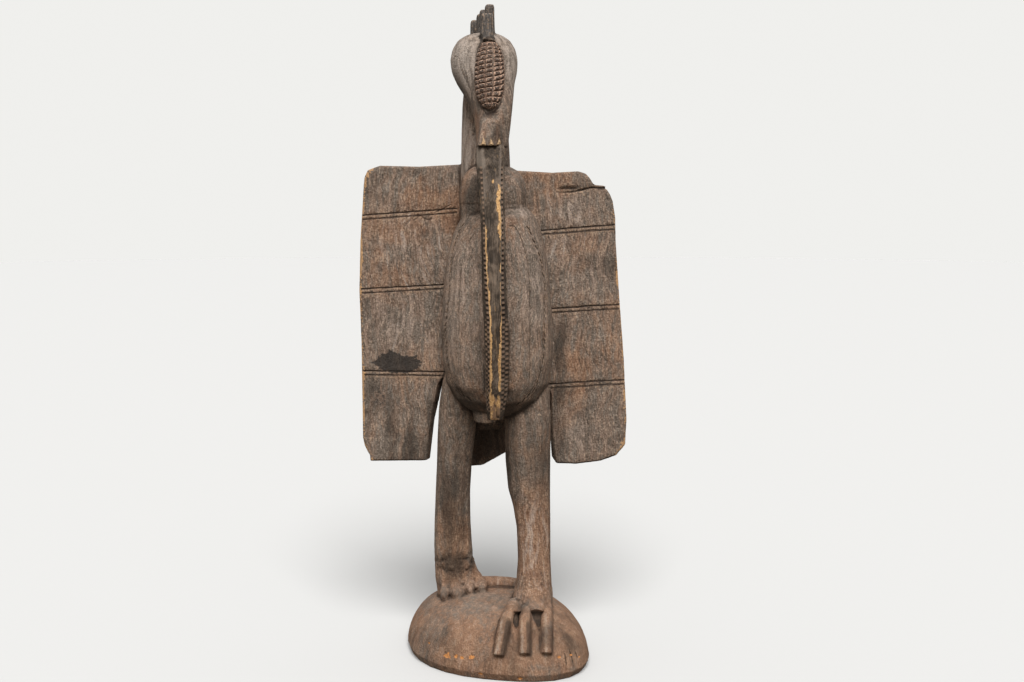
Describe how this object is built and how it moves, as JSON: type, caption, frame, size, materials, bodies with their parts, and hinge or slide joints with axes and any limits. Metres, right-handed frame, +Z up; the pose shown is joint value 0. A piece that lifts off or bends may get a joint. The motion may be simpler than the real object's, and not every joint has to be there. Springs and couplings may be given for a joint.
{
  "type": "senufo bird figure",
  "caption": "Tall carved wooden hornbill with a long toothed beak, spread board wings and a comb, standing on a domed plinth of the same log.",
  "frame": {"origin": "middle of the flat underside of the plinth, on the floor", "axes": "+Z up, the bird looks along -Y, +X to the viewer's right"},
  "size_m": [0.855, 0.5716, 2.025],
  "materials": {
    "aged_wood": "dry, weathered and dusty, dark grey-brown"
  },
  "bodies": {
    "root": {"bird_figure": "aged_wood"}
  },
  "joints": []
}
